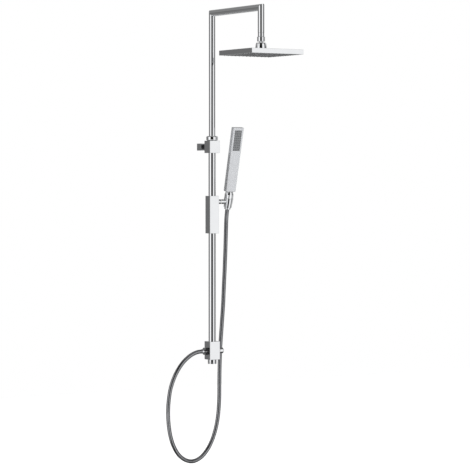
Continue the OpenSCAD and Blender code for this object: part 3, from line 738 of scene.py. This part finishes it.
# %% Holder pin, turned with two shallow grooves
pin_low, pin_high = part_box("holder_pin")
slider_face = high.x
pin_r, root_r = 8 * mm, 6 * mm
pin_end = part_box("friction_washer")[0].x
spindle_r = pin_r - 3 * mm
groove = 0.35 * mm
pin_outline = [(root_r, pin_low.x), (root_r, slider_face), (pin_r, slider_face),
               (pin_r, slider_face + 3 * mm), (pin_r - groove, slider_face + 3.2 * mm),
               (pin_r - groove, slider_face + 3.8 * mm), (pin_r, slider_face + 4 * mm),
               (pin_r, pin_end - 4 * mm), (pin_r - groove, pin_end - 3.8 * mm),
               (pin_r - groove, pin_end - 3.2 * mm), (pin_r, pin_end - 3 * mm), (pin_r, pin_end),
               (spindle_r, pin_end), (spindle_r, pin_high.x)]
pin = turned("holder_pin_turned", pin_outline, along_x(Vector((0, riser.y, pivot.z))), ease=0.3 * mm)
stands_for(pin, "holder_pin")

# %% Holder cup
cup_rim, cup_foot = 12 * mm, -20 * mm
cup_r, cup_foot_r = 16 * mm, 13.5 * mm
seat_rim_r, seat_foot_r = 12.4 * mm, 11.2 * mm
cup_outline = [(seat_foot_r, cup_foot), (cup_foot_r, cup_foot), (cup_r, cup_rim), (seat_rim_r, cup_rim)]
cup = turned("holder_cup_turned", cup_outline, leaning, ease=0.5 * mm, hollow=True)
boss_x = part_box("friction_washer")[1].x
boss_end = Vector((pivot.x - 13.2 * mm, pivot.y, pivot.z))
boss = rod_between(pin_r, Vector((boss_x, pivot.y, pivot.z)), boss_end)
soften(boss, 0.4 * mm)
cut(cup, boss, operation="UNION")
slot_half = 7.6 * mm
slot = block("slot", Vector((-slot_half, 0, cup_foot - 2 * mm)),
             Vector((slot_half, cup_r + 2 * mm, cup_rim + 2 * mm)))
put(slot, leaning)
cut(cup, slot)
drill(cup, spindle_r + play, Vector((boss_x - 2 * mm, pivot.y, pivot.z)),
      Vector((pivot.x - 15 * mm, pivot.y, pivot.z)))
smooth(cup)
stands_for(cup, "holder_cup")

# %% [markdown]
# ## Hand shower
#
# The body is a flat bar that grows wider and thinner towards the head, with a straight front. A block
# takes that shape when its upper corners are moved out and forward, and all its edges get one
# round. The spray plate sits in a recess and carries nine rows of four small teats.

# %% Cone nut of the hose
nut_low, nut_high = upright_box("cone_nut")
flange_r = (nut_high.x - nut_low.x) / 2
seat_top_r, nut_foot_r = 12.25 * mm, 10.83 * mm
flange_low, flange_high = 12.3 * mm, 26 * mm
bore_r, tail_r, ferrule_room_r = 7.7 * mm, 10.45 * mm, 9.5 * mm
ferrule_room_low, ferrule_room_high = 10.2 * mm, 14.4 * mm
nut_outline = [(bore_r, nut_low.z), (nut_foot_r, nut_low.z), (seat_top_r, cup_rim), (seat_top_r, flange_low),
               (flange_r, flange_low), (flange_r, flange_high), (11.9 * mm, nut_high.z),
               (tail_r, nut_high.z), (tail_r, ferrule_room_high), (ferrule_room_r, ferrule_room_high),
               (ferrule_room_r, ferrule_room_low), (bore_r, ferrule_room_low)]
nut = turned("cone_nut_turned", nut_outline, leaning, ease=0.5 * mm, hollow=True)
stands_for(nut, "cone_nut")

# %% Body of the hand shower
low, high = upright_box("handset_body")
foot_half_w, head_half_w = 18.5 * mm, 21 * mm
front_y = low.y
foot_back_y, head_back_y = front_y + 19 * mm, front_y + 14 * mm
shell = block("hand_shower_shell", Vector((-foot_half_w, front_y, low.z)),
              Vector((foot_half_w, foot_back_y, high.z)))
for corner in shell.data.vertices:
    if corner.co.z > (low.z + high.z) / 2:
        corner.co.x *= head_half_w / foot_half_w
        if corner.co.y > front_y + 1 * mm:
            corner.co.y = head_back_y
bevel(shell, 1.6 * mm, segments=4)
plate_low, plate_high = upright_box("spray_plate")
recess_gap = 0.15 * mm
recess = block("recess", plate_low - Vector((recess_gap, 2 * mm, recess_gap)),
               Vector((plate_high.x + recess_gap, plate_high.y, plate_high.z + recess_gap)))
bevel(recess, 1.2 * mm, segments=4)
cut(shell, recess)
tail_hole_r = 7.1 * mm
drill(shell, tail_hole_r, Vector((0, 0, low.z - past)), Vector((0, 0, low.z + 20 * mm)), sides=64)
put(shell, leaning)
smooth(shell)
stands_for(shell, "handset_body")

# %% Spray plate and its teats
teat_low = upright_box("spray_nozzles")[0]
spray_rows, spray_cols = 9, 4
column_gap = 7 * mm
spray_hole_r = 1.3 * mm
mat_margin = 1.6 * mm
spray_len = plate_high.z - plate_low.z
plate = block("spray_plate_satin", plate_low, plate_high)
bevel(plate, 1.1 * mm, segments=4)
spray_spots = [Vector(((i - (spray_cols - 1) / 2) * column_gap, 0,
                       plate_low.z + (k + 0.5) * spray_len / spray_rows))
               for i in range(spray_cols) for k in range(spray_rows)]
for spot in spray_spots:
    drill(plate, spray_hole_r + 0.05 * mm, spot + Vector((0, plate_low.y - 1 * mm, 0)),
          spot + Vector((0, plate_high.y + 1 * mm, 0)), sides=16)
put(plate, leaning)
smooth(plate)
stands_for(plate, "spray_plate")
spray_mat = block("spray_mat", Vector((plate_low.x + mat_margin, plate_high.y, plate_low.z + mat_margin)),
                  Vector((plate_high.x - mat_margin, plate_high.y + 1.2 * mm, plate_high.z - mat_margin)))
small_teat = teat("small_teat", spray_hole_r, 0.85 * mm, plate_high.y - teat_low.y)
facing_out = Matrix.Rotation(-math.pi / 2, 4, "X")
spray_places = [Matrix.Translation(spot + Vector((0, plate_high.y, 0))) @ facing_out for spot in spray_spots]
spray_field = field_of("spray_teats", small_teat, spray_places, spray_mat)
put(spray_field, leaning)
stands_for(spray_field, "spray_nozzles")

# %% [markdown]
# ## Diverter block, knob, outlet and union nut
#
# The lower block is the same milled bar as the bracket, bored for the riser above, the knob's
# cartridge, the outlet and the inlet. The knob is turned with a large round at its end, and the
# two nuts are turned and, at the outlet, milled to six flats.

# %% Diverter block
low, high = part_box("diverter_block")
knob_z = middle("diverter_knob").z
side_axis = Vector((0, riser.y, knob_z))
diverter = block("diverter_housing", low, high)
riser_depth, outlet_depth, inlet_depth = 16 * mm, 8 * mm, 10 * mm
outlet_bore_r, inlet_bore_r = 9.1 * mm, 10 * mm
drill(diverter, riser_r + play, up(riser, high.z - riser_depth), up(riser, high.z + past))
drill(diverter, half("diverter_cartridge").y + play, sideways(side_axis, high.x - 2 * mm),
      sideways(side_axis, high.x + past))
drill(diverter, outlet_bore_r, sideways(side_axis, low.x + outlet_depth), sideways(side_axis, low.x - past))
drill(diverter, inlet_bore_r, up(riser, low.z - past), up(riser, low.z + inlet_depth))
soften(diverter, 0.7 * mm)
stands_for(diverter, "diverter_block")

# %% Knob
low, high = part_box("diverter_knob")
knob_r = (high.z - low.z) / 2
knob_round = 3.5 * mm
stem_r = 4 * mm
knob_outline = ([(stem_r + 0.05 * mm, low.x), (knob_r - 1.2 * mm, low.x), (knob_r, low.x + 1.2 * mm),
                 (knob_r, low.x + 4 * mm), (knob_r - 0.35 * mm, low.x + 4.3 * mm),
                 (knob_r - 0.35 * mm, low.x + 4.9 * mm), (knob_r, low.x + 5.2 * mm)]
                + arc(knob_r - knob_round, high.x - knob_round, knob_round, 0, 90, 8)
                + [(1 * mm, high.x - 0.2 * mm)])
knob = turned("diverter_knob_turned", knob_outline, along_x(side_axis), ease=0.3 * mm)
stands_for(knob, "diverter_knob")

# %% Outlet nut with six flats
low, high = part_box("outlet_nut")
nut_across = 14 * mm
chamfer = 3.2 * mm
choose(None)
bpy.ops.mesh.primitive_cylinder_add(vertices=6, radius=nut_across, depth=high.x - low.x,
                                    location=sideways(side_axis, (low.x + high.x) / 2),
                                    rotation=(0, -math.pi / 2, 0))
hex_nut = named("outlet_hex_nut")
taper_outline = [(nut_across + 0.5 * mm, -high.x - 1 * mm), (nut_across - chamfer * 0.1, -low.x - 1.2 * mm),
                 (nut_across - chamfer * 0.45, -low.x)]
taper = turned("taper", taper_outline, along_x(side_axis, -1), ease=0.1 * mm)
cut(hex_nut, taper, operation="INTERSECT")
thread_room_r = 10.45 * mm
drill(hex_nut, hose_r + 0.9 * mm, sideways(side_axis, low.x - past), sideways(side_axis, low.x + 3 * mm))
drill(hex_nut, thread_room_r, sideways(side_axis, low.x + 2.6 * mm), sideways(side_axis, high.x + past))
soften(hex_nut, 0.3 * mm, segments=2)
stands_for(hex_nut, "outlet_nut")

# %% Ferrule that grips the hose at the outlet
low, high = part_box("bottom_ferrule")
way_r, ferrule_r, crown_r = 4 * mm, 7.6 * mm, 9.8 * mm
crimp_r = ferrule_r - 0.3 * mm
ferrule_outline = [(way_r, -high.x), (crown_r, -high.x), (crown_r, -high.x + 2 * mm),
                   (ferrule_r, -high.x + 2 * mm), (ferrule_r, -low.x - 5 * mm),
                   (crimp_r, -low.x - 4.7 * mm), (crimp_r, -low.x - 4 * mm),
                   (ferrule_r, -low.x - 3.7 * mm), (ferrule_r, -low.x), (way_r, -low.x)]
crimp = turned("hose_ferrule", ferrule_outline, along_x(side_axis, -1), ease=0.3 * mm, hollow=True)
stands_for(crimp, "bottom_ferrule")

# %% Union nut at the inlet
low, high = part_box("inlet_nut")
union_r = (high.x - low.x) / 2
thread_r, thread_top = 13.2 * mm, low.z + 8.3 * mm
groove_r, neck_hole_r, flange_room_r = union_r - 0.4 * mm, 9 * mm, 12.9 * mm
union_outline = [(thread_r, low.z), (union_r, low.z), (union_r, low.z + 3 * mm), (groove_r, low.z + 3.3 * mm),
                 (groove_r, low.z + 3.9 * mm), (union_r, low.z + 4.2 * mm), (union_r, high.z),
                 (neck_hole_r, high.z), (neck_hole_r, high.z - 2 * mm), (flange_room_r, high.z - 2 * mm),
                 (flange_room_r, thread_top), (thread_r, thread_top)]
union = turned("union_nut", union_outline, standing(riser), ease=0.45 * mm, hollow=True)
stands_for(union, "inlet_nut")

# %% [markdown]
# ## Studio
#
# Chrome is drawn by what stands round it. The room is white to the eye, but what the metal reflects is
# arranged as for a catalogue: a black flag on the side of the lens, wide white panels beside it,
# a narrow dark flag to the right, a grey wall behind the column, and dim bands above and below.
# The flags stop below the height of the lens and are narrower further down, so a view from higher
# up sees a lighter room. The arrangement belongs to the room and stays put when the view changes.
# Large lamps that the metal doesn't show light the plastics. The floor is plain and pale, a little
# over a metre below the union nut, as it is under a mixer in a real bathroom.

# %% What the metal reflects, by compass direction
white_level, wall_level, flag_level = 1.12, 0.165, 0.01
low_ring = [(-180, 0.24), (-162, 0.23), (-150, wall_level), (-129, wall_level), (-116, 0.4), (-104, 0.75),
            (-96, white_level), (-66, white_level), (-63, flag_level), (-10, flag_level),
            (-7, 0.9), (12, 0.9), (22, 0.97), (39, 0.97), (42, 0.04), (70, 0.04),
            (75, 0.45), (110, 0.55), (145, 0.5), (180, 0.24)]
lower_ring = [(-180, 0.24), (-150, 0.2), (-135, 0.45), (-104, 0.8), (-92, 0.9), (-44, 0.9),
              (-41, flag_level), (-19, flag_level), (-16, white_level), (28, 0.95), (46, 0.95), (50, 0.08),
              (64, 0.08), (74, 0.5), (110, 0.55), (145, 0.5), (180, 0.24)]
quiet_ring = [(-180, 0.24), (-150, 0.2), (-135, 0.45), (-104, 0.8), (-92, white_level), (28, 0.97),
              (50, 0.85), (74, 0.6), (110, 0.55), (145, 0.5), (180, 0.24)]
upper_ring = [(-180, 0.24), (-155, 0.24), (-135, 0.5), (-104, 0.8), (-66, 0.95), (-62, flag_level),
              (-10, flag_level), (-6, 0.95), (40, 0.97), (44, 0.08), (68, 0.08), (76, 0.7), (130, 0.6),
              (160, 0.28)]
world = bpy.data.worlds.new("studio")
bpy.context.scene.world = world
world.use_nodes = True
room = world.node_tree
room.nodes.clear()


def add(kind, **values):
    node = room.nodes.new(kind)
    for name, value in values.items():
        if name.startswith("in_"):
            node.inputs[int(name[3:])].default_value = value
        else:
            setattr(node, name, value)
    return node


way = add("ShaderNodeTexCoord")
split = add("ShaderNodeSeparateXYZ")
flip = add("ShaderNodeMath", operation="MULTIPLY", in_1=-1.0)
bearing = add("ShaderNodeMath", operation="ARCTAN2")
scaled = add("ShaderNodeMath", operation="MULTIPLY_ADD", in_1=1 / (2 * math.pi), in_2=0.5)
room.links.new(way.outputs["Generated"], split.inputs[0])
room.links.new(split.outputs["Y"], flip.inputs[0])
room.links.new(split.outputs["X"], bearing.inputs[0])
room.links.new(flip.outputs[0], bearing.inputs[1])
room.links.new(bearing.outputs[0], scaled.inputs[0])


def levels(stops, source, start, span):
    """A ramp of grey levels; stops are (place, level) and the places run over span from start."""
    ramp = add("ShaderNodeValToRGB")
    room.links.new(source, ramp.inputs["Fac"])
    while len(ramp.color_ramp.elements) < len(stops):
        ramp.color_ramp.elements.new(0.5)
    for stop, (place, level) in zip(ramp.color_ramp.elements, stops):
        stop.position = (place - start) / span
        stop.color = (level, level, level, 1)
    return ramp.outputs["Color"]


def mixed(blend, share, first, second):
    mix = add("ShaderNodeMix", data_type="RGBA", blend_type=blend)
    if hasattr(share, "links"):
        room.links.new(share, mix.inputs[0])
    else:
        mix.inputs[0].default_value = share
    room.links.new(first, mix.inputs[6])
    room.links.new(second, mix.inputs[7])
    return mix.outputs[2]


# %% Dimmer above and below, and white behind for the eye
heights = [(-1.0, 0.4), (-0.88, 0.15), (-0.7, 0.06), (-0.62, 1.0), (0.54, 1.0), (0.62, 0.12), (0.8, 0.08),
           (0.92, 0.4), (1.0, 0.7)]
to_lower_ring = [(-0.51, 0.0), (-0.47, 1.0), (-0.32, 1.0), (-0.28, 0.0)]
to_quiet_ring = [(-0.32, 0.0), (-0.28, 1.0), (-0.19, 1.0), (-0.16, 0.0)]
to_upper_ring = [(0.12, 0.0), (0.3, 1.0)]
to_poles = [(-0.92, 1.0), (-0.7, 0.0), (0.6, 0.0), (0.9, 1.0)]
rise = add("ShaderNodeMath", operation="MULTIPLY_ADD", in_1=0.5, in_2=0.5)
room.links.new(split.outputs["Z"], rise.inputs[0])


def around(ring):
    return levels(ring, scaled.outputs[0], -180, 360)


def by_height(stops):
    return levels(stops, rise.outputs[0], -1, 2)


rings = mixed("MIX", by_height(to_quiet_ring), around(low_ring), around(quiet_ring))
rings = mixed("MIX", by_height(to_lower_ring), rings, around(lower_ring))
rings = mixed("MIX", by_height(to_upper_ring), rings, around(upper_ring))
rings = mixed("MIX", by_height(to_poles), rings, around([(-180, 0.8)]))
around_and_up = mixed("MULTIPLY", 1.0, rings, by_height(heights))
reflected = add("ShaderNodeBackground")
backdrop = add("ShaderNodeBackground", in_0=(1, 1, 1, 1), in_1=1.0)
room.links.new(around_and_up, reflected.inputs["Color"])
ray = add("ShaderNodeLightPath")
chosen = add("ShaderNodeMixShader")
output = add("ShaderNodeOutputWorld")
room.links.new(ray.outputs["Is Camera Ray"], chosen.inputs[0])
room.links.new(reflected.outputs[0], chosen.inputs[1])
room.links.new(backdrop.outputs[0], chosen.inputs[2])
room.links.new(chosen.outputs[0], output.inputs["Surface"])
print("room made of", len(low_ring), "panels round and", len(heights), "tiers")

# %% Floor and lamps
object_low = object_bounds()[0]
floor_half = 8.0
floor_drop = 720 * mm
choose(None)
bpy.ops.mesh.primitive_grid_add(x_subdivisions=4, y_subdivisions=4, size=2 * floor_half,
                                location=(0, riser.y, object_low.z - floor_drop))
floor = bpy.context.object
floor.name = "pale_floor"
floor_finish = new_finish("pale_floor", (0.86, 0.86, 0.86), (0.9, 0.9, 0.9), 0.0, (0.6, 0.7),
                          cloud=2, grain=20)
floor_shader = floor_finish.node_tree.nodes["Principled BSDF"]
floor_shader.inputs["Emission Color"].default_value = (1, 1, 1, 1)
floor_shader.inputs["Emission Strength"].default_value = 0.8
floor.data.materials.append(floor_finish)
floor.visible_glossy = False


lamps_face = Vector((0, -0.2, -0.3))


def lamp(name, at, size, power):
    data = bpy.data.lights.new(name, "AREA")
    data.size = size
    data.energy = power
    thing = bpy.data.objects.new(name, data)
    thing.location = at
    aim = lamps_face - Vector(at)
    thing.rotation_euler = aim.to_track_quat("-Z", "Y").to_euler()
    thing.visible_glossy = False
    bpy.context.scene.collection.objects.link(thing)


lamp("key_lamp", (2.2, -3.6, 2.4), 2.0, 130)
lamp("fill_lamp", (-3.4, -2.2, 1.2), 2.4, 90)
lamp("back_lamp", (0.5, 3.5, 2.2), 2.4, 60)
bpy.context.scene.view_settings.view_transform = "Standard"
print("floor at z", round(floor.location.z, 3))
